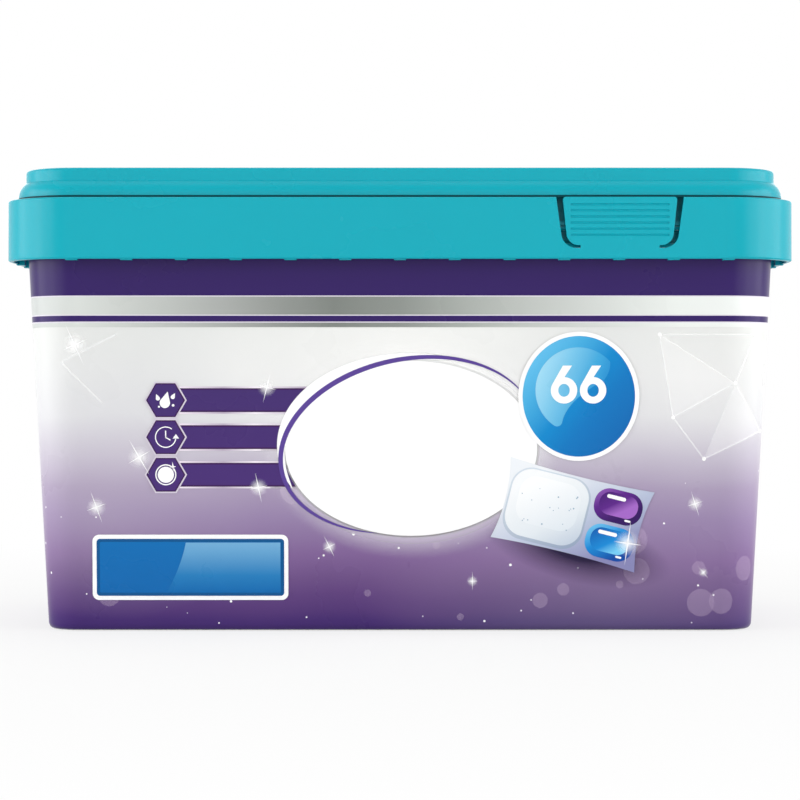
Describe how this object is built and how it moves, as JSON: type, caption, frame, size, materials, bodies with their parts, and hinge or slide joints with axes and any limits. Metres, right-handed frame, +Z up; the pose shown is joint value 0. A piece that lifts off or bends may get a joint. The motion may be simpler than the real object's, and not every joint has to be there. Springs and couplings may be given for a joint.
{
  "type": "dishwasher tablet tub",
  "caption": "Hinged-lid plastic tub of dishwasher pacs: tapered printed tub, clipped collar with a press tab, and a lid on a living hinge.",
  "frame": {"origin": "On the floor, under the middle of the tub", "axes": "+Z up, front with the press tab faces -Y, +X along the long side"},
  "size_m": [0.23, 0.13, 0.1341],
  "materials": {
    "tub_print": "satin",
    "closure_plastic": "satin",
    "pac_film": "gloss"
  },
  "bodies": {
    "tub": {"tub": "tub_print", "collar": "closure_plastic", "tab_root": "closure_plastic", "hinge_web": "closure_plastic", "pacs_01": "pac_film", "pacs_02": "pac_film", "pacs_03": "pac_film", "pacs_04": "pac_film", "pacs_05": "pac_film", "pacs_06": "pac_film", "pacs_07": "pac_film", "pacs_08": "pac_film", "pacs_09": "pac_film", "pacs_10": "pac_film", "pacs_11": "pac_film"},
    "lid": {"lid": "closure_plastic"},
    "press_tab": {"press_tab": "closure_plastic"}
  },
  "joints": [
    {"name": "lid_hinge", "type": "hinge", "parent": "tub", "child": "lid", "pos_m": [0, 0.0643, 0.1258], "axis": [-1, 0, 0], "range_deg": [0, 110], "deforming": ["hinge_web"]},
    {"name": "tab_press", "type": "hinge", "parent": "tub", "child": "press_tab", "pos_m": [0.063, -0.0643, 0.1107], "axis": [-1, 0, 0], "range_deg": [0, 6.5], "stiffness_Nm_per_rad": 1.1, "deforming": ["tab_root"]}
  ]
}
